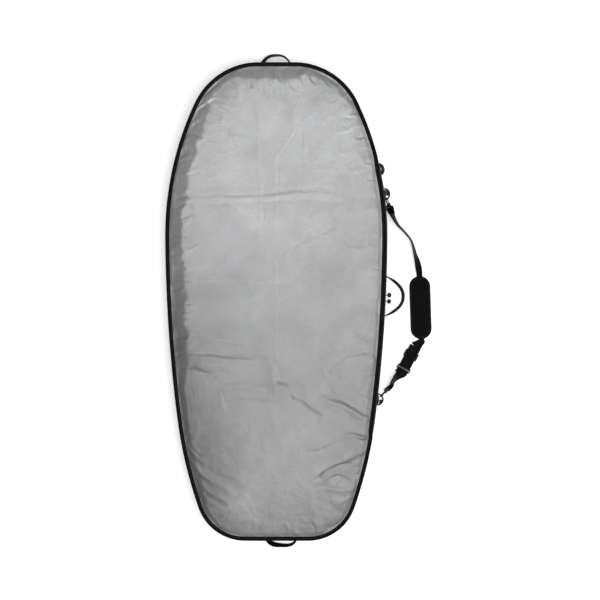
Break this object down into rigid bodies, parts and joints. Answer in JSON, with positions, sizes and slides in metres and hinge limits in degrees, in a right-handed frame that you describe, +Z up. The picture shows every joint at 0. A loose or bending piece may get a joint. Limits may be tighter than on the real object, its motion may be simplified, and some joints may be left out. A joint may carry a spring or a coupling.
{
  "type": "board bag",
  "caption": "Padded egg-shaped board bag with a silver top panel, zipped gusset, carry loops, side handle, D-rings and a clip-on padded shoulder strap.",
  "frame": {"origin": "centre of the bag's outline, on the underside of the deck panel it lies on", "axes": "+Y towards the nose, +X towards the shoulder strap, +Z up through the silver panel"},
  "size_m": [0.8582, 1.5956, 0.138],
  "materials": {
    "black_fabric": "woven polyester",
    "silver_fabric": "metallic woven foil, satin",
    "padding": "closed-cell foam, matt",
    "lining": "plain weave",
    "binding_tape": "ribbed tape",
    "webbing": "ribbed webbing",
    "zip_plastic": "moulded coil",
    "zip_metal": "black enamel",
    "fitting_plastic": "moulded, fine texture",
    "spring_steel": "bright",
    "pad_fabric": "dense knit"
  },
  "bodies": {
    "base": {"deck_panel_shell": "black_fabric", "deck_panel_foam": "padding", "deck_panel_lining": "lining", "deck_binding": "binding_tape", "gusset_lower_shell": "black_fabric", "gusset_lower_foam": "padding", "gusset_lower_lining": "lining", "zip_tape_lower": "binding_tape", "zip_coil_lower": "zip_plastic", "zip_end_stops": "zip_plastic", "spine_fold": "black_fabric", "handle_patches": "webbing", "ring_tabs": "webbing"},
    "lid": {"silver_panel_shell": "silver_fabric", "silver_panel_foam": "padding", "silver_panel_lining": "lining", "silver_binding": "binding_tape", "gusset_upper_shell": "black_fabric", "gusset_upper_foam": "padding", "gusset_upper_lining": "lining", "zip_tape_upper": "binding_tape", "zip_coil_upper": "zip_plastic"},
    "slider_nose": {"slider_nose": "zip_metal"},
    "slider_tail": {"slider_tail": "zip_metal"},
    "pull_nose": {"pull_nose": "fitting_plastic"},
    "pull_tail": {"pull_tail": "fitting_plastic"},
    "side_handle": {"side_handle": "webbing"},
    "nose_handle": {"nose_handle": "webbing"},
    "tail_handle": {"tail_handle": "webbing"},
    "spare_ring": {"spare_d_ring": "fitting_plastic"},
    "strap": {"d_ring_upper": "fitting_plastic", "d_ring_lower": "fitting_plastic", "hook_upper": "fitting_plastic", "hook_lower": "fitting_plastic", "strap_webbing": "webbing", "strap_tail_webbing": "webbing", "strap_ring": "fitting_plastic", "pad_cover": "pad_fabric", "pad_foam": "padding", "pad_backing": "pad_fabric"},
    "gate_upper": {"gate_upper": "spring_steel"},
    "gate_lower": {"gate_lower": "spring_steel"},
    "tri_glide": {"tri_glide": "fitting_plastic"}
  },
  "joints": [
    {"name": "lid_hinge", "type": "hinge", "parent": "base", "child": "lid", "pos_m": [-0.357, 0.055, 0.055], "axis": [0, -1, 0], "range_deg": [0, 150]},
    {"name": "nose_slider_travel", "type": "hinge", "parent": "base", "child": "slider_nose", "pos_m": [-4.36929, 0.23125, 0.055], "axis": [0, 0, 1], "range_deg": [0, 2.07]},
    {"name": "tail_slider_travel", "type": "hinge", "parent": "base", "child": "slider_tail", "pos_m": [-4.36929, 0.23125, 0.055], "axis": [0, 0, 1], "range_deg": [-4.42, 0]},
    {"name": "nose_pull_tilt", "type": "hinge", "parent": "slider_nose", "child": "pull_nose", "pos_m": [0.35412, 0.02087, 0.055], "axis": [0, 0, 1], "range_deg": [-18, 45]},
    {"name": "tail_pull_tilt", "type": "hinge", "parent": "slider_tail", "child": "pull_tail", "pos_m": [0.35319, 0.00085, 0.055], "axis": [0, 0, 1], "range_deg": [-45, 18]},
    {"name": "side_handle_flop", "type": "hinge", "parent": "base", "child": "side_handle", "pos_m": [0.34951, 0.017, 0.025], "axis": [-0.0454, -0.999, 0], "range_deg": [-60, 60]},
    {"name": "nose_handle_flop", "type": "hinge", "parent": "base", "child": "nose_handle", "pos_m": [-0.0025, 0.76378, 0.025], "axis": [1, 0, 0], "range_deg": [-35, 60]},
    {"name": "tail_handle_flop", "type": "hinge", "parent": "base", "child": "tail_handle", "pos_m": [0.016, -0.76378, 0.025], "axis": [-1, 0, 0], "range_deg": [-45, 60]},
    {"name": "spare_ring_flop", "type": "hinge", "parent": "base", "child": "spare_ring", "pos_m": [0.33324, 0.428, 0.036], "axis": [0.2178, -0.976, 0], "range_deg": [-42, 110]},
    {"name": "strap_swing", "type": "hinge", "parent": "base", "child": "strap", "pos_m": [0.33838, 0.015, 0.036], "axis": [-0.0344, -0.9994, 0], "range_deg": [-2, 60]},
    {"name": "upper_gate_spring", "type": "hinge", "parent": "strap", "child": "gate_upper", "pos_m": [0.36346, 0.31615, 0.03316], "axis": [-0.799, -0.3954, 0.4532], "range_deg": [0, 25], "stiffness_Nm_per_rad": 0.02},
    {"name": "lower_gate_spring", "type": "hinge", "parent": "strap", "child": "gate_lower", "pos_m": [0.35169, -0.29415, 0.0325], "axis": [0.6398, -0.7295, -0.2418], "range_deg": [0, 25], "stiffness_Nm_per_rad": 0.02},
    {"name": "tri_glide_slide", "type": "slide", "parent": "strap", "child": "tri_glide", "axis": [-0.4745, -0.8803, 0], "range_m": [-0.01, 0.025]}
  ]
}
